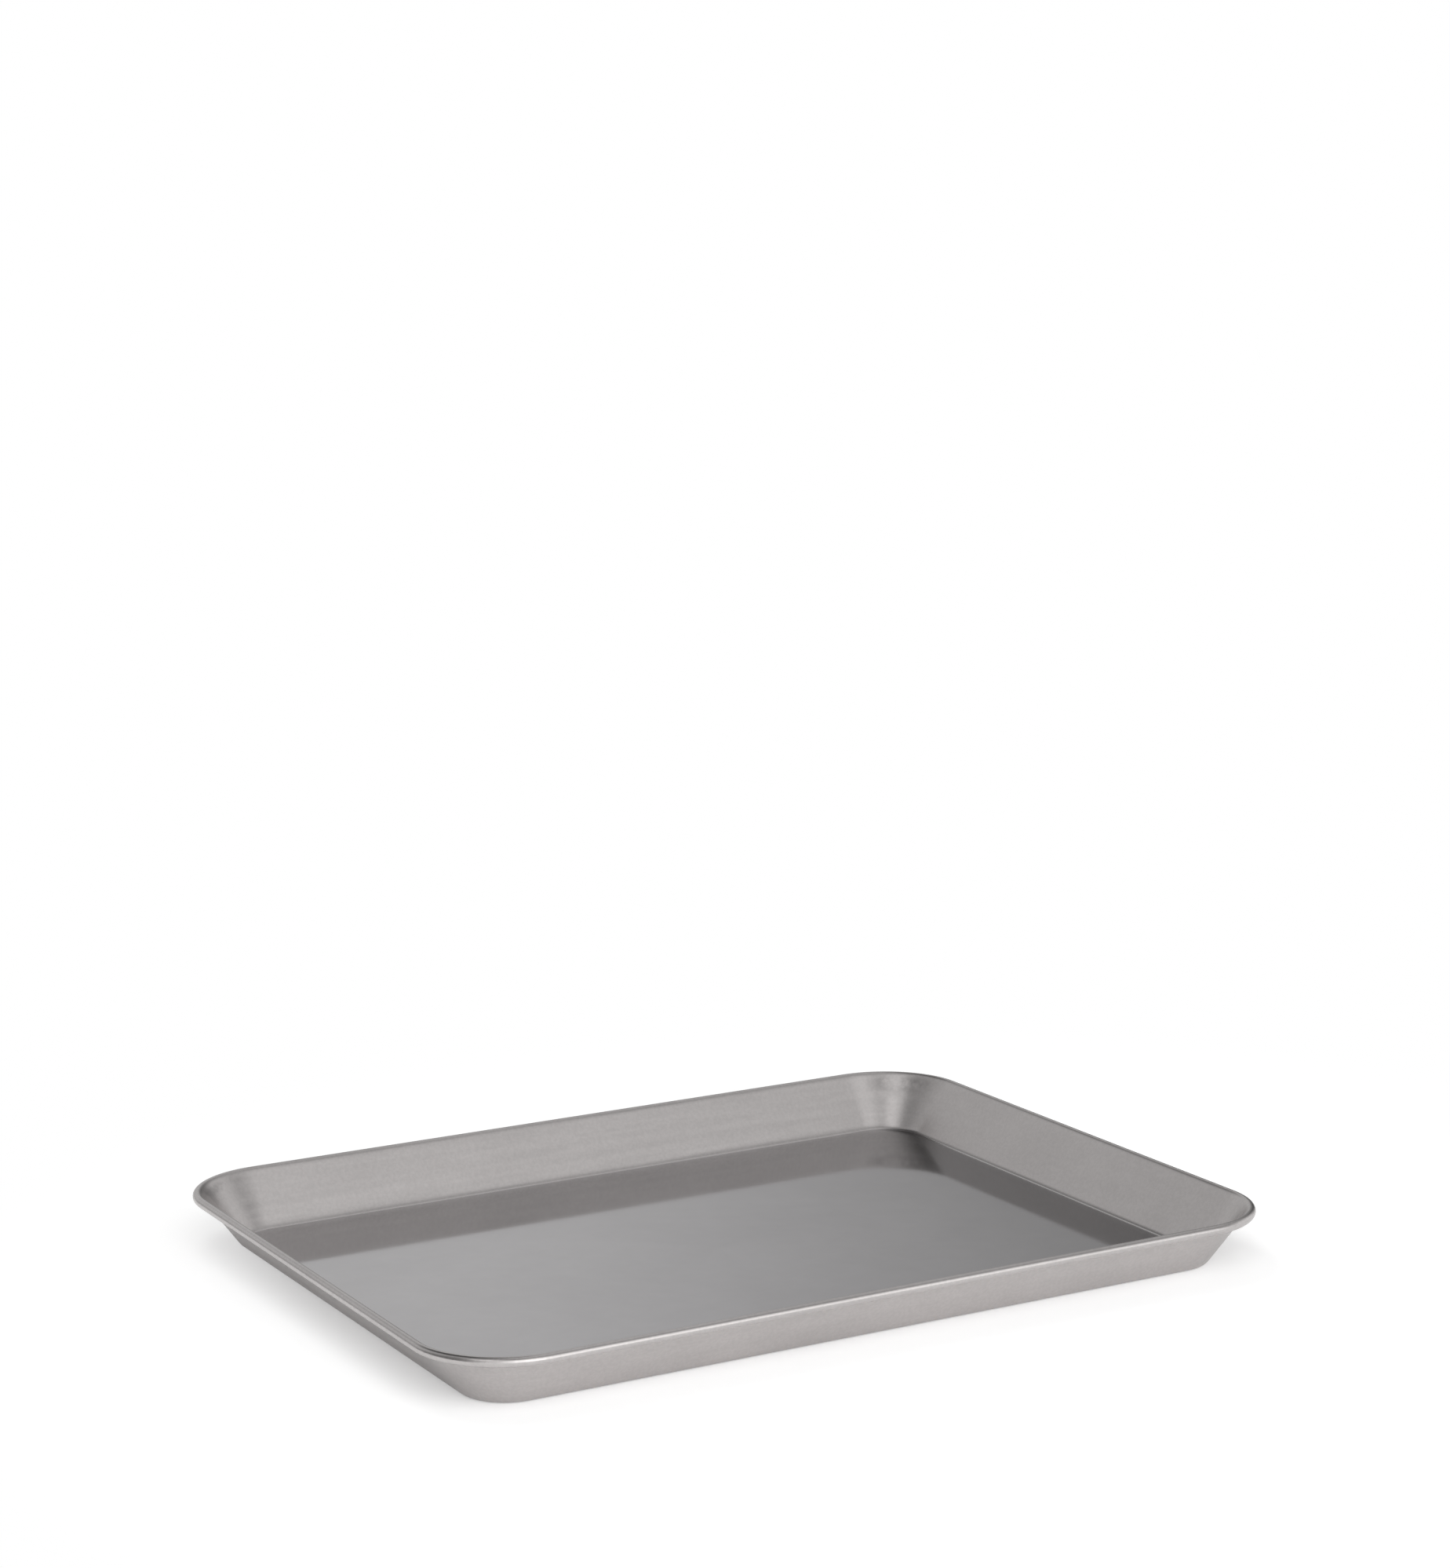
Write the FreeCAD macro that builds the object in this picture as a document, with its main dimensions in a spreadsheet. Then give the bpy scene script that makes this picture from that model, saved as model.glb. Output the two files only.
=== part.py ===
import FreeCAD, Part
import os
import sys
from math import cos, radians, sin

import Sketcher
from FreeCAD import Vector

# Shallow rectangular tray, pressed from one sheet of stainless steel. The sheet's edge is rolled
# outwards around a closed loop of wire. Millimetres and degrees, +Z up. The origin is the centre
# of the underside, X runs along the long side and the tray rests on Z = 0.

DRIVING_SIZES = {
    "overall_length": 360.0,    # over the rolled rim, along X
    "overall_width": 280.0,     # over the rolled rim, along Y
    "tray_height": 23.0,        # table to the top of the rim
    "corner_radius": 37.0,      # plan radius of the rim's outer edge
    "wall_angle": 36.0,         # lean of the walls from the vertical
    "sheet_thickness": 0.6,
    "base_radius": 3.5,         # outside radius between floor and wall
    "rim_radius": 1.9,          # outside radius of the rolled rim's section
    "curl_turn": 305.0,         # how far the sheet wraps round the wire
    "wire_radius": 1.25,
}


def floor_inset(size):
    """Distance from the rim's outer edge to where the flat floor starts."""
    lean = radians(size["wall_angle"])
    rim = size["rim_radius"]
    base = size["base_radius"]
    across = rim - size["sheet_thickness"] + base
    rise = size["tray_height"] - rim - base
    return rim + (across + rise * sin(lean)) / cos(lean)


def make_sheet(doc, size):
    """Spreadsheet that every sketch and feature takes its sizes from."""
    sheet = doc.addObject("Spreadsheet::Sheet", "sizes")
    cells = dict(size, floor_inset=floor_inset(size))
    for row, (alias, value) in enumerate(cells.items(), start=1):
        sheet.set(f"A{row}", alias)
        sheet.set(f"B{row}", str(value))
        sheet.setAlias(f"B{row}", alias)
    doc.recompute()
    return sheet


def origin_plane(body, role):
    """The body's own XY_Plane, XZ_Plane or YZ_Plane."""
    return next(item for item in body.Origin.OriginFeatures if item.Role == role)


def new_sketch(body, name, role):
    """Empty sketch on one of the body's origin planes."""
    sketch = body.newObject("Sketcher::SketchObject", name)
    sketch.AttachmentSupport = [(origin_plane(body, role), "")]
    sketch.MapMode = "FlatFace"
    return sketch


def bind(sketch, kind, places, value, name, expression):
    """Add a named dimension to the sketch and tie it to the spreadsheet."""
    index = sketch.addConstraint(Sketcher.Constraint(kind, *places, value))
    sketch.renameConstraint(index, name)
    sketch.setExpression(f"Constraints.{name}", expression)


def draw_loop(sketch, size, inset, inset_expression):
    """Rounded rectangle, concentric with the rim and lying inset inside its outer edge."""
    half_x = size["overall_length"] / 2 - inset
    half_y = size["overall_width"] / 2 - inset
    radius = size["corner_radius"] - inset
    middle_x = half_x - radius
    middle_y = half_y - radius
    up = Vector(0, 0, 1)

    def line(x1, y1, x2, y2):
        return sketch.addGeometry(Part.LineSegment(Vector(x1, y1, 0), Vector(x2, y2, 0)))

    def corner(x, y, start):
        circle = Part.Circle(Vector(x, y, 0), up, radius)
        return sketch.addGeometry(Part.ArcOfCircle(circle, radians(start), radians(start + 90)))

    first = line(half_x, 0, half_x, middle_y)
    back_right = corner(middle_x, middle_y, 0)
    back = line(middle_x, half_y, -middle_x, half_y)
    back_left = corner(-middle_x, middle_y, 90)
    left = line(-half_x, middle_y, -half_x, -middle_y)
    front_left = corner(-middle_x, -middle_y, 180)
    front = line(-middle_x, -half_y, middle_x, -half_y)
    front_right = corner(middle_x, -middle_y, 270)
    last = line(half_x, -middle_y, half_x, 0)

    chain = [first, back_right, back, back_left, left, front_left, front, front_right, last]
    for one, following in zip(chain, chain[1:]):
        sketch.addConstraint(Sketcher.Constraint("Tangent", one, 2, following, 1))
    sketch.addConstraint(Sketcher.Constraint("Coincident", last, 2, first, 1))
    sketch.addConstraint(Sketcher.Constraint("PointOnObject", first, 1, -1))
    for upright in (first, left, last):
        sketch.addConstraint(Sketcher.Constraint("Vertical", upright))
    for level in (back, front):
        sketch.addConstraint(Sketcher.Constraint("Horizontal", level))
    for arc in (back_left, front_left, front_right):
        sketch.addConstraint(Sketcher.Constraint("Equal", back_right, arc))
    bind(sketch, "Radius", (back_right,), radius, "corner",
         f"sizes.corner_radius - {inset_expression}")
    bind(sketch, "DistanceX", (-1, 1, first, 1), half_x, "right_edge",
         f"sizes.overall_length / 2 - {inset_expression}")
    bind(sketch, "DistanceX", (left, 1, -1, 1), half_x, "left_edge",
         f"sizes.overall_length / 2 - {inset_expression}")
    bind(sketch, "DistanceY", (-1, 1, back, 1), half_y, "back_edge",
         f"sizes.overall_width / 2 - {inset_expression}")
    bind(sketch, "DistanceY", (front, 1, -1, 1), half_y, "front_edge",
         f"sizes.overall_width / 2 - {inset_expression}")


def draw_wall_section(sketch, size):
    """Section of the sheet from the floor's edge up the wall and round the wire."""
    sheet = size["sheet_thickness"]
    base = size["base_radius"]
    rim = size["rim_radius"]
    lean = size["wall_angle"]
    outward = Vector(cos(radians(lean)), -sin(radians(lean)), 0)
    base_centre = Vector(size["overall_length"] / 2 - floor_inset(size), base, 0)
    rim_centre = Vector(size["overall_length"] / 2 - rim, size["tray_height"] - rim, 0)
    top_angle = 180 - lean
    end_angle = top_angle - size["curl_turn"]
    end_ray = Vector(cos(radians(end_angle)), sin(radians(end_angle)), 0)
    normal = Vector(0, 0, 1)

    def line(start, end):
        return sketch.addGeometry(Part.LineSegment(start, end))

    def arc(centre, radius, start, end):
        circle = Part.Circle(centre, normal, radius)
        return sketch.addGeometry(Part.ArcOfCircle(circle, radians(start), radians(end)))

    floor_end = line(Vector(base_centre.x, 0, 0), Vector(base_centre.x, sheet, 0))
    inner_base = arc(base_centre, base - sheet, 270, 360 - lean)
    inner_wall = line(base_centre + outward * (base - sheet), rim_centre - outward * rim)
    outer_curl = arc(rim_centre, rim, end_angle, top_angle)
    curl_end = line(rim_centre + end_ray * rim, rim_centre + end_ray * (rim - sheet))
    inner_curl = arc(rim_centre, rim - sheet, end_angle, top_angle)
    outer_wall = line(rim_centre - outward * (rim - sheet), base_centre + outward * base)
    outer_base = arc(base_centre, base, 270, 360 - lean)

    rules = [
        ("Vertical", floor_end),
        ("PointOnObject", floor_end, 1, -1),
        ("Coincident", floor_end, 2, inner_base, 1),
        ("Tangent", inner_base, 2, inner_wall, 1),
        ("Tangent", inner_wall, 2, outer_curl, 2),
        ("Coincident", outer_curl, 1, curl_end, 1),
        ("Coincident", curl_end, 2, inner_curl, 1),
        ("Tangent", inner_curl, 2, outer_wall, 1),
        ("Tangent", outer_wall, 2, outer_base, 2),
        ("Coincident", outer_base, 1, floor_end, 1),
        ("Coincident", inner_base, 3, outer_base, 3),
        ("Coincident", inner_curl, 3, outer_curl, 3),
        ("Vertical", outer_base, 1, outer_base, 3),
        ("PointOnObject", outer_curl, 3, curl_end),
        ("Equal", floor_end, curl_end),
    ]
    for rule in rules:
        sketch.addConstraint(Sketcher.Constraint(*rule))
    bind(sketch, "DistanceY", (floor_end, 1, floor_end, 2), sheet, "sheet",
         "sizes.sheet_thickness")
    bind(sketch, "Radius", (outer_base,), base, "base_radius", "sizes.base_radius")
    bind(sketch, "Radius", (outer_curl,), rim, "rim_radius", "sizes.rim_radius")
    bind(sketch, "DistanceX", (-1, 1, outer_curl, 3), rim_centre.x, "rim_centre_x",
         "sizes.overall_length / 2 - sizes.rim_radius")
    bind(sketch, "DistanceY", (-1, 1, outer_curl, 3), rim_centre.y, "rim_centre_z",
         "sizes.tray_height - sizes.rim_radius")
    bind(sketch, "Angle", (inner_wall,), radians(90 - lean), "wall_slope",
         "(90 - sizes.wall_angle) * 1 deg")
    bind(sketch, "Angle", (curl_end,), radians(end_angle + 180), "curl_end_slope",
         "(360 - sizes.wall_angle - sizes.curl_turn) * 1 deg")


def sweep(body, name, section, path):
    """Carry a section round a closed path inside the body."""
    pipe = body.newObject("PartDesign::AdditivePipe", name)
    pipe.Profile = section
    pipe.Spine = (path, [f"Edge{n}" for n in range(1, path.GeometryCount + 1)])
    pipe.Mode = "Standard"
    return pipe


def make_pan(doc, size):
    """Floor, walls, corners and rolled edge: one pressed sheet."""
    body = doc.addObject("PartDesign::Body", "pan")
    body.Label = "pan"
    outline = new_sketch(body, "floor_outline", "XY_Plane")
    draw_loop(outline, size, floor_inset(size), "sizes.floor_inset")
    floor = body.newObject("PartDesign::Pad", "floor")
    floor.Profile = outline
    floor.setExpression("Length", "sizes.sheet_thickness")
    path = new_sketch(body, "wall_path", "XY_Plane")
    draw_loop(path, size, floor_inset(size), "sizes.floor_inset")
    section = new_sketch(body, "wall_section", "XZ_Plane")
    draw_wall_section(section, size)
    sweep(body, "wall_and_rim", section, path)
    return body


def make_rim_wire(doc, size):
    """Closed wire loop inside the rolled edge."""
    body = doc.addObject("PartDesign::Body", "rim_wire")
    body.Label = "rim_wire"
    path = new_sketch(body, "wire_path", "XY_Plane")
    draw_loop(path, size, size["rim_radius"], "sizes.rim_radius")
    path.setExpression("AttachmentOffset.Base.z", "sizes.tray_height - sizes.rim_radius")
    section = new_sketch(body, "wire_section", "XZ_Plane")
    centre_x = size["overall_length"] / 2 - size["rim_radius"]
    centre_z = size["tray_height"] - size["rim_radius"]
    circle = section.addGeometry(
        Part.Circle(Vector(centre_x, centre_z, 0), Vector(0, 0, 1), size["wire_radius"]))
    bind(section, "Radius", (circle,), size["wire_radius"], "wire_radius", "sizes.wire_radius")
    bind(section, "DistanceX", (-1, 1, circle, 3), centre_x, "centre_x",
         "sizes.overall_length / 2 - sizes.rim_radius")
    bind(section, "DistanceY", (-1, 1, circle, 3), centre_z, "centre_z",
         "sizes.tray_height - sizes.rim_radius")
    sweep(body, "wire_loop", section, path)
    return body


def check(doc, bodies):
    """Stop if any object failed to compute or any sub-part isn't one sound solid."""
    for item in doc.Objects:
        if "Invalid" in item.State or "Error" in item.State:
            sys.exit(f"{item.Name} failed: {item.State}")
    for body in bodies:
        shape = body.Shape
        if shape.isNull() or not shape.isValid() or len(shape.Solids) != 1:
            sys.exit(f"{body.Label} is not one valid solid")


def main():
    doc = FreeCAD.newDocument("tray")
    make_sheet(doc, DRIVING_SIZES)
    bodies = [make_pan(doc, DRIVING_SIZES), make_rim_wire(doc, DRIVING_SIZES)]
    doc.recompute()
    check(doc, bodies)
    os.makedirs("parts", exist_ok=True)
    for body in bodies:
        body.Shape.exportStep(f"parts/{body.Label}.step")
        box = body.Shape.BoundBox
        print(body.Label, round(body.Shape.Volume, 1), "mm3,",
              [round(side, 3) for side in (box.XLength, box.YLength, box.ZLength)])


main()
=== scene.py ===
"""Shallow pressed stainless steel tray with a wired edge, on a pale table."""

import math

import bpy
from bpy.props import FloatProperty, FloatVectorProperty, IntProperty, PointerProperty
from mathutils import Euler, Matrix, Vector


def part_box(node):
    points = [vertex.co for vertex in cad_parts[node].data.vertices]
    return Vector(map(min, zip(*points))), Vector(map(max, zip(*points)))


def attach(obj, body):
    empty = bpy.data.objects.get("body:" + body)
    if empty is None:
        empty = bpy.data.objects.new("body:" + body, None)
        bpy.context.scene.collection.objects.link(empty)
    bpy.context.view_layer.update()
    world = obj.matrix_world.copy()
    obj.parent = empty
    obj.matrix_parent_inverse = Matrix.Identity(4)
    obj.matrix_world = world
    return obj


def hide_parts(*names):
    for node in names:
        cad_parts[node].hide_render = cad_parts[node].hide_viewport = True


bl_info = {
    "name": "Pressed Steel Tray",
    "version": (1, 0, 0),
    "blender": (4, 5, 0),
    "location": "View3D > Sidebar > Tray",
    "description": "Builds a shallow pressed stainless steel tray with a wired edge",
    "category": "Object",
}

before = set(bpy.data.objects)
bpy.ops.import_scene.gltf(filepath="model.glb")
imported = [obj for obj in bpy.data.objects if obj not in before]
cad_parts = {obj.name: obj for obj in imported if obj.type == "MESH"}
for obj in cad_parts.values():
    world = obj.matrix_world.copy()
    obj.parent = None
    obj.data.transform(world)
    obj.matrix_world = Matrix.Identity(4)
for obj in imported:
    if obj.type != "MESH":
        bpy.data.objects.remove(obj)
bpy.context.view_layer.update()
PAN_LOW, PAN_HIGH = (Vector(corner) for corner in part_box("pan"))
PAN_SIZE = PAN_HIGH - PAN_LOW
MM = 0.001

BASE_STEPS = 3    # cage segments round the radius between floor and wall
WALL_RINGS = (0.08, 0.3, 0.55, 0.8, 0.95)    # shares of the way up the flat of the wall


def linear(hex_colour):
    """sRGB hex colour, such as "#C8C6C3", as linear RGB."""
    channels = (int(hex_colour[n:n + 2], 16) / 255 for n in (1, 3, 5))
    return tuple(c / 12.92 if c <= 0.04045 else ((c + 0.055) / 1.055) ** 2.4 for c in channels)


def direction(azimuth, elevation):
    """Unit vector; azimuth in degrees from +X towards +Y, elevation above the table."""
    a = math.radians(azimuth)
    e = math.radians(elevation)
    return Vector((math.cos(a) * math.cos(e), math.sin(a) * math.cos(e), math.sin(e)))


# ---------------------------------------------------------------- settings

class TraySizes(bpy.types.PropertyGroup):
    """Shape of the pressed sheet. Length, width and height come from the frame."""

    corner_radius: FloatProperty(
        name="Corner Radius", description="Plan radius of the rim's outer edge",
        default=37 * MM, unit="LENGTH")
    wall_lean: FloatProperty(
        name="Wall Lean", description="How far the walls lean from the vertical",
        default=math.radians(36), subtype="ANGLE")
    sheet: FloatProperty(
        name="Sheet", description="Thickness of the steel sheet", default=0.6 * MM,
        unit="LENGTH", precision=4)
    base_radius: FloatProperty(
        name="Base Radius", description="Outside radius between floor and wall",
        default=3.5 * MM, unit="LENGTH", precision=4)
    rim_radius: FloatProperty(
        name="Rim Radius", description="Outside radius of the rolled rim's section",
        default=1.9 * MM, unit="LENGTH", precision=4)
    curl_turn: FloatProperty(
        name="Curl Turn", description="How far the sheet wraps round the wire",
        default=math.radians(305), subtype="ANGLE")
    crown: FloatProperty(
        name="Floor Crown", description="How far the floor's middle is sprung upwards",
        default=0.8 * MM, unit="LENGTH", precision=4)
    pucker: FloatProperty(
        name="Pucker", description="Depth of the draw marks inside the corners",
        default=0.02 * MM, unit="LENGTH", precision=5)
    corner_steps: IntProperty(
        name="Corner Steps", description="Cage segments round each corner", default=32)
    long_steps: IntProperty(
        name="Long Side Steps", description="Cage segments along a long side", default=14)
    short_steps: IntProperty(
        name="Short Side Steps", description="Cage segments along a short side", default=10)
    curl_steps: IntProperty(
        name="Curl Steps", description="Cage segments round the rolled rim", default=12)


class TrayFinish(bpy.types.PropertyGroup):
    """Colours and gloss of the steel."""

    steel: FloatVectorProperty(
        name="Steel", description="Stainless sheet as rolled, near neutral", subtype="COLOR",
        default=linear("#C9C7C8"))
    worked_steel: FloatVectorProperty(
        name="Worked Steel", description="Drawn walls, slightly warmer", subtype="COLOR",
        default=linear("#CBC7C6"))
    # painted shade: how much the inner corners under the rim are darkened, in cloudy blotches
    painted_corner_shade: FloatProperty(
        name="Painted Corner Shade", description="How dark the painted shade marks are inside the corners",
        default=0.25, subtype="FACTOR")
    wall_roughness: FloatProperty(
        name="Wall Roughness", description="Satin walls", default=0.33, subtype="FACTOR")
    floor_roughness: FloatProperty(
        name="Floor Roughness", description="Half-mirror floor", default=0.07, subtype="FACTOR")
    rim_roughness: FloatProperty(
        name="Rim Roughness", description="Burnished rim", default=0.25, subtype="FACTOR")
    wire: FloatVectorProperty(
        name="Wire", description="Drawn steel wire", subtype="COLOR",
        default=linear("#A5A3A0"))


class TrayStage(bpy.types.PropertyGroup):
    """Table, light and camera."""

    table_colour: FloatVectorProperty(
        name="Table", description="Opal white acrylic", subtype="COLOR",
        default=linear("#E7E7E7"))
    table_glow: FloatProperty(
        name="Table Glow", description="Light that comes through the table", default=0.12)
    shadow_lift: FloatProperty(
        name="Shadow Lift", description="How much lighter the picture sees the table",
        default=0.22)
    fade_start: FloatProperty(
        name="Fade Start", description="Distance at which the table starts to fade to white",
        default=220 * MM, unit="LENGTH")
    fade_end: FloatProperty(
        name="Fade End", description="Distance at which the table has faded to white",
        default=420 * MM, unit="LENGTH")
    room_light: FloatProperty(
        name="Room Light", description="Even light from every side", default=0.2)
    lens: FloatProperty(
        name="Lens", description="Focal length on a 36 mm sensor", default=81.6)


# ---------------------------------------------------------------- the pressed sheet

def base_inset(sizes, height):
    """Distance from the rim's outer edge to where the flat floor starts."""
    across = sizes.rim_radius - sizes.sheet + sizes.base_radius
    rise = height - sizes.rim_radius - sizes.base_radius
    lean = sizes.wall_lean
    return sizes.rim_radius + (across + rise * math.sin(lean)) / math.cos(lean)


def sheet_section(sizes, height):
    """Middle of the sheet from the floor's edge, up the wall and round the wire.

    Each point is its inset from the rim's outer edge, its height, and its share of the way up
    the flat of the wall, which is 0 off the wall.
    """
    lean = sizes.wall_lean
    middle = sizes.sheet / 2
    inset = base_inset(sizes, height)
    margin = 4 * sizes.sheet    # a flat strip that keeps the radius crisp where it starts
    points = [(inset + margin, middle, 0)]
    base_arc = sizes.base_radius - middle
    base_turn = math.pi / 2 - lean
    for n in range(BASE_STEPS + 1):
        angle = base_turn * n / BASE_STEPS
        points.append((inset - base_arc * math.sin(angle),
                       sizes.base_radius - base_arc * math.cos(angle), 0))
    step = sizes.curl_turn / sizes.curl_steps
    # smoothing draws a ring of points inwards, so the cage is this much larger
    rim_arc = (sizes.rim_radius - middle) * 3 / (2 + math.cos(step))
    rim_z = height - sizes.rim_radius
    curl = [(sizes.rim_radius + rim_arc * math.cos(lean + step * n),
             rim_z + rim_arc * math.sin(lean + step * n), 0)
            for n in range(sizes.curl_steps + 1)]
    foot = points[-1]
    for share in WALL_RINGS:
        across, up = (a + (b - a) * share for a, b in zip(foot[:2], curl[0]))
        points.append((across, up, share))
    return points + curl


def rim_stations(sizes, half_x, half_y):
    """Places round the tray, from the front-left corner: (corner centre or side point, facing)."""
    core = Vector((half_x - sizes.corner_radius, half_y - sizes.corner_radius))
    half = sizes.corner_steps // 2
    stations = []
    for side in range(4):
        facing = math.radians(90 * side - 90)
        steps = sizes.short_steps if side % 2 else sizes.long_steps
        outward = Vector((math.cos(facing), math.sin(facing)))
        along = Vector((-outward.y, outward.x))
        start = Vector((core.x * (outward - along).x, core.y * (outward - along).y))
        end = Vector((core.x * (outward + along).x, core.y * (outward + along).y))
        for n in range(half):
            stations.append((start, facing + math.radians(45) * (n / half - 1)))
        for n in range(steps):
            stations.append((start.lerp(end, n / steps), facing))
        for n in range(half):
            stations.append((end, facing + math.radians(45) * n / half))
    return stations


def draw_mark(sizes, facing, share):
    """How far the sheet is pressed outwards where the draw gathered it: corners, near the rim."""
    ripples_round = 38
    swells_round = 14
    swell = 0.6 + 0.4 * math.sin(swells_round * facing + 1.9)
    ripple = math.sin(ripples_round * facing + 0.7) * swell
    in_corner = math.sin(2 * facing) ** 2
    near_rim = 2 * share ** 2 * (1 - share ** 6)
    return sizes.pucker * ripple * in_corner * near_rim


def place(station, radius, z):
    """Point at the given plan radius from the station's corner centre."""
    point, facing = station
    return Vector((point.x + radius * math.cos(facing), point.y + radius * math.sin(facing), z))


def coons(front, right, back, left, across, along):
    """Point inside four joined edges, each a list that runs to the right or to the back."""
    columns = len(front) - 1
    rows = len(right) - 1
    u = across / columns
    v = along / rows
    between = front[across].lerp(back[across], v) + left[along].lerp(right[along], u)
    corners = front[0].lerp(front[-1], u).lerp(back[0].lerp(back[-1], u), v)
    return between - corners


def sheet_cage(sizes, size):
    """The sheet's middle surface: vertices, faces and two sets of coordinates for each face.

    The wrap is the share of the way round and the distance along the section. The draw is how
    far into a corner, and the share of the height.
    """
    section = sheet_section(sizes, size.z)
    stations = rim_stations(sizes, size.x / 2, size.y / 2)
    count = len(stations)
    rings = [[place(s, sizes.corner_radius - inset + draw_mark(sizes, s[1], share), z)
              for s in stations] for inset, z, share in section]
    verts = [point for ring in rings for point in ring]

    # distance along the section, and share of the way round, for the grain
    reach = [0.0]
    for (u0, z0, _), (u1, z1, _) in zip(section, section[1:]):
        reach.append(reach[-1] + math.hypot(u1 - u0, z1 - z0))
    middle_ring = rings[len(rings) // 3]
    walked = [0.0]
    for n in range(count):
        walked.append(walked[-1] + (middle_ring[(n + 1) % count] - middle_ring[n]).length)
    turn = [w / walked[-1] for w in walked]
    corner = [abs(math.sin(2 * facing)) for _, facing in stations]
    corner.append(corner[0])

    faces = []
    wraps = []
    drawn = []
    for k in range(len(section) - 1):
        for n in range(count):
            after = (n + 1) % count
            faces.append((k * count + n, (k + 1) * count + n,
                          (k + 1) * count + after, k * count + after))
            wraps.append(((turn[n], reach[k]), (turn[n], reach[k + 1]),
                          (turn[n + 1], reach[k + 1]), (turn[n + 1], reach[k])))
            low_share = section[k][1] / size.z
            high_share = section[k + 1][1] / size.z
            drawn.append(((corner[n], low_share), (corner[n], high_share),
                          (corner[n + 1], high_share), (corner[n + 1], low_share)))

    # the floor: a grid whose edge is the first ring
    columns = sizes.long_steps + sizes.corner_steps
    rows = sizes.short_steps + sizes.corner_steps
    edge = rings[0]
    front = edge[:columns + 1]
    right = edge[columns:columns + rows + 1]
    back = edge[columns + rows:2 * columns + rows + 1][::-1]
    left = (edge[2 * columns + rows:] + edge[:1])[::-1]
    index = {}
    for i in range(columns + 1):
        index[i, 0] = i
        index[i, rows] = 2 * columns + rows - i
    for j in range(rows + 1):
        index[columns, j] = columns + j
        index[0, j] = (2 * (columns + rows) - j) % count
    edge_x = max(point.x for point in edge)
    edge_y = max(point.y for point in edge)
    for i in range(1, columns):
        for j in range(1, rows):
            point = coons(front, right, back, left, i, j)
            rise = (1 - (point.x / edge_x) ** 2) * (1 - (point.y / edge_y) ** 2)
            point.z = sizes.sheet / 2 + sizes.crown * max(rise, 0)
            index[i, j] = len(verts)
            verts.append(point)
    for i in range(columns):
        for j in range(rows):
            faces.append((index[i, j], index[i + 1, j], index[i + 1, j + 1], index[i, j + 1]))
            wraps.append(((0, 0),) * 4)
            drawn.append(((0, 0),) * 4)
    return verts, faces, wraps, drawn


def new_piece(name, verts, faces, material):
    """Mesh object at the origin, smooth shaded, with one material."""
    mesh = bpy.data.meshes.new(name)
    mesh.from_pydata([tuple(v) for v in verts], [], faces)
    mesh.materials.append(material)
    mesh.polygons.foreach_set("use_smooth", [True] * len(mesh.polygons))
    piece = bpy.data.objects.new(name, mesh)
    bpy.context.collection.objects.link(piece)
    return piece


# ---------------------------------------------------------------- materials

def new_tree(name):
    """Empty node tree of a new material, and the material."""
    material = bpy.data.materials.new(name)
    material.use_nodes = True
    material.node_tree.nodes.clear()
    return material, material.node_tree


def add(tree, kind, inputs=None, **settings):
    """Add one node; an input given as a socket is linked, anything else is its value."""
    node = tree.nodes.new(kind)
    for name, value in settings.items():
        setattr(node, name, value)
    for key, value in (inputs or {}).items():
        if isinstance(value, bpy.types.NodeSocket):
            tree.links.new(value, node.inputs[key])
        else:
            node.inputs[key].default_value = value
    return node


def colour(vector):
    """RGB setting as the four channels that a colour socket takes."""
    return (*vector, 1.0)


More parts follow.
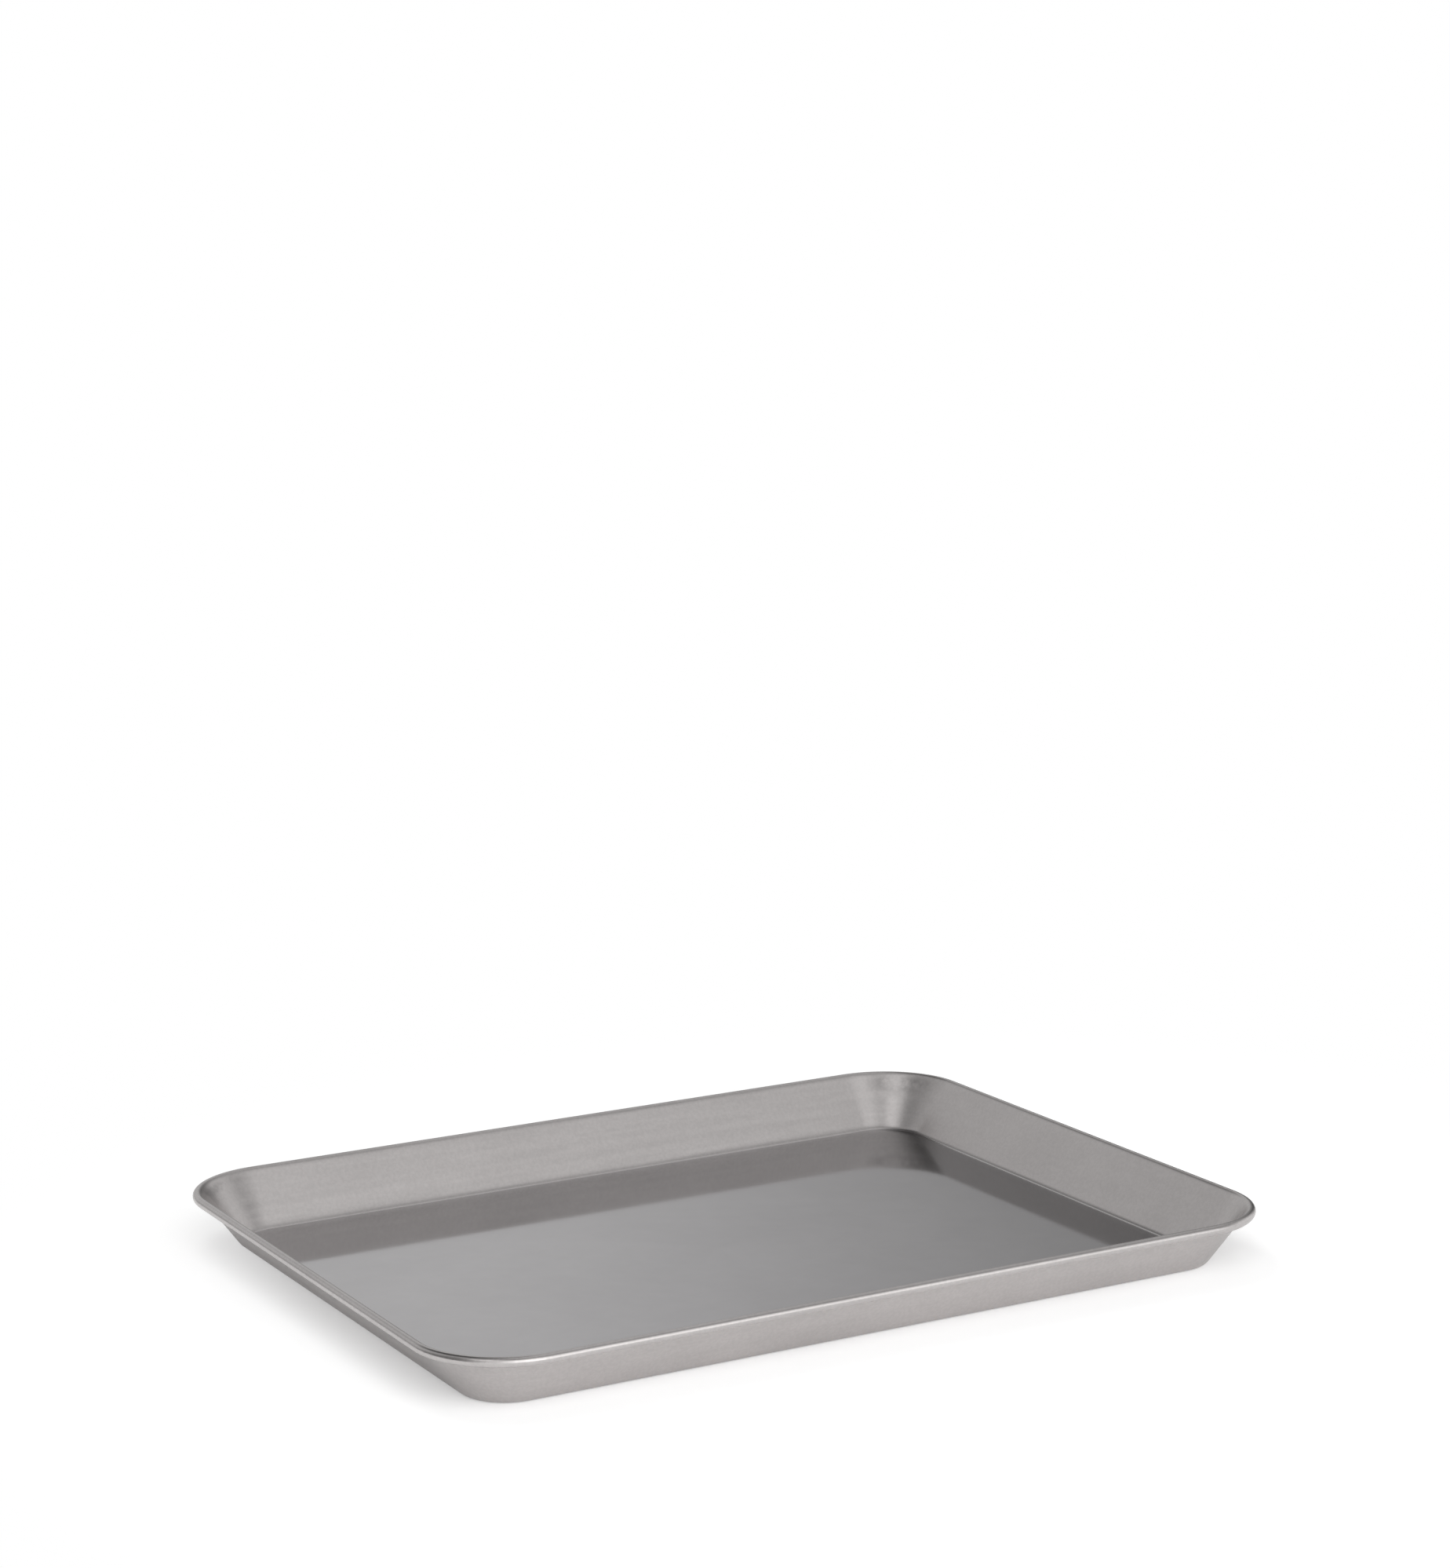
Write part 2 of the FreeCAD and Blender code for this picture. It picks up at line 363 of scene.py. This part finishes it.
def pressed_stainless(finish, sizes, perimeter, rim_reach):
    """Stainless sheet as it leaves the press.

    The floor keeps the rolled sheet's half-mirror. The drawn walls are satin, with a faint grain
    that runs along them, and the rim is burnished by the roller that closes it. Real grain and
    grit are finer than a tenth of a millimetre, and are drawn coarser here so that they show.
    """
    material, tree = new_tree("pressed_stainless_steel")
    wrap = add(tree, "ShaderNodeSeparateXYZ",
               {"Vector": add(tree, "ShaderNodeUVMap", uv_map="wrap").outputs["UV"]})
    turned = add(tree, "ShaderNodeMath", {0: wrap.outputs["X"], 1: math.tau},
                 operation="MULTIPLY").outputs[0]
    round_x = add(tree, "ShaderNodeMath", {0: turned}, operation="COSINE").outputs[0]
    round_y = add(tree, "ShaderNodeMath", {0: turned}, operation="SINE").outputs[0]
    on_ring = add(tree, "ShaderNodeCombineXYZ",
                  {"X": round_x, "Y": round_y, "Z": wrap.outputs["Y"]}).outputs[0]
    ring = perimeter / math.tau
    own_space = add(tree, "ShaderNodeTexCoord")

    def grain(length, width, detail):
        """Noise whose marks are about this long round the tray and this wide up the wall."""
        scaled = add(tree, "ShaderNodeVectorMath",
                     {0: on_ring, 1: (ring / length, ring / length, 1 / width)},
                     operation="MULTIPLY").outputs[0]
        return add(tree, "ShaderNodeTexNoise",
                   {"Vector": scaled, "Scale": 1.0, "Detail": detail, "Roughness": 0.6}
                   ).outputs["Fac"]

    def mottle(size, detail=3):
        """Even noise with marks of about this size."""
        return add(tree, "ShaderNodeTexNoise",
                   {"Vector": own_space.outputs["Object"], "Scale": 1 / size,
                    "Detail": detail, "Roughness": 0.6}).outputs["Fac"]

    def ranged(value, low, high, start, end):
        """A value eased from one range to another."""
        return add(tree, "ShaderNodeMapRange",
                   {"Value": value, "From Min": low, "From Max": high, "To Min": start,
                    "To Max": end}, interpolation_type="SMOOTHSTEP").outputs[0]

    def varied(noise, start, end):
        """A value that follows a noise, which lies mostly between 0.3 and 0.7."""
        return ranged(noise, 0.3, 0.7, start, end)

    def times(*values):
        """Product of several values."""
        result = values[0]
        for value in values[1:]:
            result = add(tree, "ShaderNodeMath", {0: result, 1: value},
                         operation="MULTIPLY").outputs[0]
        return result

    fine_grain = grain(30 * MM, 0.4 * MM, 3)
    broad_grain = grain(80 * MM, 3 * MM, 2)
    patches = mottle(55 * MM)
    cloud = mottle(9 * MM, 4)
    grit = mottle(1.4 * MM, 2)

    # where things are: the wall, the rolled rim, and inside the drawn corners under the rim, where
    # shade is painted
    on_wall = ranged(wrap.outputs["Y"], 3 * sizes.sheet, 8 * sizes.sheet, 0, 1)
    on_rim = ranged(wrap.outputs["Y"], rim_reach, rim_reach + sizes.rim_radius, 0, 1)
    draw = add(tree, "ShaderNodeSeparateXYZ",
               {"Vector": add(tree, "ShaderNodeUVMap", uv_map="draw").outputs["UV"]})
    in_corner = ranged(draw.outputs["X"], 0.35, 0.95, 0, 1)
    under_rim = times(ranged(draw.outputs["Y"], 0.55, 0.8, 0, 1),
                      ranged(draw.outputs["Y"], 0.86, 0.95, 1, 0))
    upward = add(tree, "ShaderNodeSeparateXYZ", {"Vector": own_space.outputs["Normal"]})
    inside = ranged(upward.outputs["Z"], 0.1, 0.3, 0, 1)

    # roughness: floor, then wall with its grain, then rim
    wall_rough = varied(broad_grain, finish.wall_roughness - 0.03, finish.wall_roughness + 0.03)
    floor_rough = varied(patches, finish.floor_roughness - 0.01, finish.floor_roughness + 0.01)
    rough = add(tree, "ShaderNodeMix", {"Factor": on_wall, "A": floor_rough, "B": wall_rough})
    rough = add(tree, "ShaderNodeMix",
                {"Factor": on_rim, "A": rough.outputs["Result"], "B": finish.rim_roughness})

    # tone: cloudy patches all over, grain and grit on the walls, and painted shade in the corners
    # under the rim
    tint = add(tree, "ShaderNodeMix",
               {"Factor": on_wall, "A": colour(finish.steel), "B": colour(finish.worked_steel)},
               data_type="RGBA")
    # painted shade: darkens the inner corners under the rim in cloudy blotches
    painted_corner_shade = times(in_corner, under_rim, inside, ranged(cloud, 0.43, 0.6, 0, finish.painted_corner_shade))
    corner_shade_factor = add(tree, "ShaderNodeMath", {0: 1.0, 1: painted_corner_shade}, operation="SUBTRACT").outputs[0]
    wall_marks = times(varied(broad_grain, 0.975, 1.02), varied(grit, 0.96, 1.035))
    marks = add(tree, "ShaderNodeMix", {"Factor": on_wall, "A": 1.0, "B": wall_marks})
    shade = times(varied(patches, 0.975, 1.02), varied(cloud, 0.99, 1.01),
                  marks.outputs["Result"], corner_shade_factor)
    base = add(tree, "ShaderNodeVectorMath", {0: tint.outputs["Result"], "Scale": shade},
               operation="SCALE").outputs[0]

    grooves = times(fine_grain, on_wall)
    bump = add(tree, "ShaderNodeBump",
               {"Height": grooves, "Strength": 0.3, "Distance": 0.01 * MM}).outputs["Normal"]
    steel = add(tree, "ShaderNodeBsdfPrincipled",
                {"Base Color": base, "Metallic": 1.0, "Roughness": rough.outputs["Result"],
                 "Normal": bump})
    add(tree, "ShaderNodeOutputMaterial", {"Surface": steel.outputs[0]})
    return material


def drawn_wire(finish):
    """Steel wire drawn through a die: dull bright, with fine lines along it."""
    material, tree = new_tree("drawn_steel_wire")
    where = add(tree, "ShaderNodeTexCoord").outputs["Object"]
    marks = add(tree, "ShaderNodeTexNoise",
                {"Vector": where, "Scale": 1 / (1.5 * MM), "Detail": 4}).outputs["Fac"]
    rough = add(tree, "ShaderNodeMapRange",
                {"Value": marks, "To Min": 0.32, "To Max": 0.5}).outputs[0]
    steel = add(tree, "ShaderNodeBsdfPrincipled",
                {"Base Color": colour(finish.wire), "Metallic": 1.0, "Roughness": rough})
    add(tree, "ShaderNodeOutputMaterial", {"Surface": steel.outputs[0]})
    return material


def light_table(stage):
    """Opal white acrylic, lit faintly from below and matt to the lamps above.

    The steel mirrors it as it is lit. The picture sees its shadows lifted, and sees it fade into
    the white background away from the tray.
    """
    material, tree = new_tree("opal_white_light_table")
    seen = add(tree, "ShaderNodeLightPath").outputs["Is Camera Ray"]
    glow = add(tree, "ShaderNodeMapRange",
               {"Value": seen, "To Min": stage.table_glow,
                "To Max": stage.table_glow + stage.shadow_lift}).outputs[0]
    matt = add(tree, "ShaderNodeBsdfDiffuse", {"Color": colour(stage.table_colour)}).outputs[0]
    glowing = add(tree, "ShaderNodeEmission", {"Strength": glow}).outputs[0]
    lit = add(tree, "ShaderNodeAddShader", {0: matt, 1: glowing}).outputs[0]
    white = add(tree, "ShaderNodeEmission").outputs[0]
    where = add(tree, "ShaderNodeTexCoord").outputs["Object"]
    centre = (70 * MM, -60 * MM, 0)    # off to the front right, so the table's left fades first
    distance = add(tree, "ShaderNodeVectorMath", {0: where, 1: centre},
                   operation="DISTANCE").outputs["Value"]
    fade = add(tree, "ShaderNodeMapRange",
               {"Value": distance, "From Min": stage.fade_start, "From Max": stage.fade_end},
               interpolation_type="SMOOTHSTEP").outputs[0]
    faded = add(tree, "ShaderNodeMath", {0: fade, 1: seen}, operation="MULTIPLY").outputs[0]
    shown = add(tree, "ShaderNodeMixShader", {0: faded, 1: lit, 2: white}).outputs[0]
    add(tree, "ShaderNodeOutputMaterial", {"Surface": shown})
    return material


# ---------------------------------------------------------------- operators

class TRAY_OT_press_sheet(bpy.types.Operator):
    """Make the pressed sheet: floor, walls, corners and rolled rim"""

    bl_idname = "tray.press_sheet"
    bl_label = "Press Sheet"

    def execute(self, context):
        sizes = context.scene.tray_sizes
        section = sheet_section(sizes, PAN_SIZE.z)
        climb = sum(math.dist(a[:2], b[:2])
                    for a, b in zip(section, section[1:-sizes.curl_steps]))
        perimeter = 2 * (PAN_SIZE.x + PAN_SIZE.y) - (8 - math.tau) * sizes.corner_radius
        material = pressed_stainless(context.scene.tray_finish, sizes, perimeter, climb)
        verts, faces, wraps, drawn = sheet_cage(sizes, PAN_SIZE)
        piece = new_piece("pressed_pan", verts, faces, material)
        for name, places in (("wrap", wraps), ("draw", drawn)):
            layer = piece.data.uv_layers.new(name=name)
            layer.data.foreach_set("uv", [value for face in places for uv in face for value in uv])

        gauge = piece.modifiers.new("gauge", "SOLIDIFY")
        gauge.thickness = sizes.sheet
        gauge.offset = 0
        gauge.use_even_offset = True
        smooth = piece.modifiers.new("smooth", "SUBSURF")
        smooth.levels = smooth.render_levels = 1
        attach(piece, "root")
        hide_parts("pan")
        return {"FINISHED"}


class TRAY_OT_finish_wire(bpy.types.Operator):
    """Give the wire inside the rim its finish"""

    bl_idname = "tray.finish_wire"
    bl_label = "Finish Wire"

    def execute(self, context):
        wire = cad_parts["rim_wire"]
        material = drawn_wire(context.scene.tray_finish)
        for slot in wire.material_slots:
            slot.material = material
        return {"FINISHED"}


class TRAY_OT_set_stage(bpy.types.Operator):
    """Add the table, the room around it, the lamps and the camera"""

    bl_idname = "tray.set_stage"
    bl_label = "Set Stage"

    def execute(self, context):
        scene = context.scene
        stage = scene.tray_stage
        scene.view_settings.view_transform = "Standard"
        reach = 0.9
        under = -0.05 * MM    # a hair below the tray, so that the two surfaces don't meet
        table = new_piece(
            "light_table",
            [(-reach, -reach, under), (reach, -reach, under),
             (reach, reach, under), (-reach, reach, under)],
            [(0, 1, 2, 3)], light_table(stage))
        self.surroundings(scene, stage)
        # name, azimuth and elevation in degrees, distance and size in metres, power in watts
        softboxes = (
            ("right_softbox", 300, 35, 1.6, 1.0, 0.5),
            ("front_softbox", 248, 40, 1.6, 1.0, 9.0),
            ("overhead_softbox", 115, 65, 1.5, 0.7, 3.5),
        )
        for settings in softboxes:
            self.softbox(*settings)
        self.camera(scene, stage)
        return {"FINISHED"}

    def surroundings(self, scene, stage):
        """Room that the steel mirrors; the picture itself sees white behind the table."""
        # azimuth, elevation, spread in degrees, and how much lighter or darker it is
        patches = (
            (285, 15, 50, 1.05),    # tall window, front right
            (250, 10, 60, 0.75),    # pale room behind the viewer
            (355, 5, 45, 0.7),      # pale wall to the right
            (40, 15, 25, -0.25),    # doorway, back right
            (90, 40, 65, 0.45),     # pale wall behind
            (95, 55, 30, -0.6),     # dark cove above that wall
            (345, 70, 35, 0.25),    # ceiling panel
            (210, 55, 20, 0.8),     # small lamp above the left end
        )
        world = bpy.data.worlds.new("studio_room")
        world.use_nodes = True
        tree = world.node_tree
        tree.nodes.clear()
        ray = add(tree, "ShaderNodeTexCoord").outputs["Generated"]
        light = stage.room_light
        for azimuth, elevation, spread, strength in patches:
            facing = add(tree, "ShaderNodeVectorMath",
                         {0: ray, 1: direction(azimuth, elevation)},
                         operation="DOT_PRODUCT").outputs["Value"]
            share = add(tree, "ShaderNodeMapRange",
                        {"Value": facing, "From Min": math.cos(math.radians(spread)),
                         "From Max": 1.0, "To Min": 0.0, "To Max": strength},
                        interpolation_type="SMOOTHSTEP").outputs[0]
            light = add(tree, "ShaderNodeMath", {0: light, 1: share}, operation="ADD").outputs[0]
        # the dark patches take light away, but never more than there is
        light = add(tree, "ShaderNodeMath", {0: light, 1: 0.0}, operation="MAXIMUM").outputs[0]
        room = add(tree, "ShaderNodeBackground", {"Color": (1, 1, 1, 1), "Strength": light}
                   ).outputs[0]
        white = add(tree, "ShaderNodeBackground", {"Color": (1, 1, 1, 1)}).outputs[0]
        seen = add(tree, "ShaderNodeLightPath").outputs["Is Camera Ray"]
        both = add(tree, "ShaderNodeMixShader", {0: seen, 1: room, 2: white}).outputs[0]
        add(tree, "ShaderNodeOutputWorld", {"Surface": both})
        scene.world = world

    def softbox(self, name, azimuth, elevation, distance, size, power):
        """Square lamp aimed at the tray; it lights the table and isn't mirrored in the steel."""
        data = bpy.data.lights.new(name, "AREA")
        data.size = size
        data.energy = power
        lamp = bpy.data.objects.new(name, data)
        toward = direction(azimuth, elevation)
        lamp.location = toward * distance
        lamp.rotation_euler = toward.to_track_quat("Z", "Y").to_euler()
        lamp.visible_glossy = False
        bpy.context.collection.objects.link(lamp)

    def camera(self, scene, stage):
        """Three-quarter view from the front left, a little above the rim."""
        data = bpy.data.cameras.new("camera")
        data.lens = stage.lens
        data.sensor_width = 36
        location = (-0.665, -1.2, 0.424)
        turn = (80.3, 0.75, -29.35)
        camera = bpy.data.objects.new("camera", data)
        camera.location = location
        camera.rotation_euler = Euler([math.radians(angle) for angle in turn])
        bpy.context.collection.objects.link(camera)
        scene.camera = camera


class TRAY_PT_sidebar(bpy.types.Panel):
    """Tray settings and build steps"""

    bl_label = "Pressed Tray"
    bl_idname = "TRAY_PT_sidebar"
    bl_space_type = "VIEW_3D"
    bl_region_type = "UI"
    bl_category = "Tray"

    def draw(self, context):
        for group in ("tray_sizes", "tray_finish", "tray_stage"):
            settings = getattr(context.scene, group)
            box = self.layout.box()
            for name in settings.__annotations__:
                box.prop(settings, name)
        for operator in OPERATORS:
            self.layout.operator(operator.bl_idname)


SETTINGS = {"tray_sizes": TraySizes, "tray_finish": TrayFinish, "tray_stage": TrayStage}
OPERATORS = (TRAY_OT_press_sheet, TRAY_OT_finish_wire, TRAY_OT_set_stage)
CLASSES = (*SETTINGS.values(), *OPERATORS, TRAY_PT_sidebar)


def register():
    for cls in CLASSES:
        bpy.utils.register_class(cls)
    for name, group in SETTINGS.items():
        setattr(bpy.types.Scene, name, PointerProperty(type=group))


def unregister():
    for name in SETTINGS:
        delattr(bpy.types.Scene, name)
    for cls in reversed(CLASSES):
        bpy.utils.unregister_class(cls)


def main():
    register()
    bpy.ops.tray.press_sheet()
    bpy.ops.tray.finish_wire()
    bpy.ops.tray.set_stage()


if __name__ == "__main__":
    main()
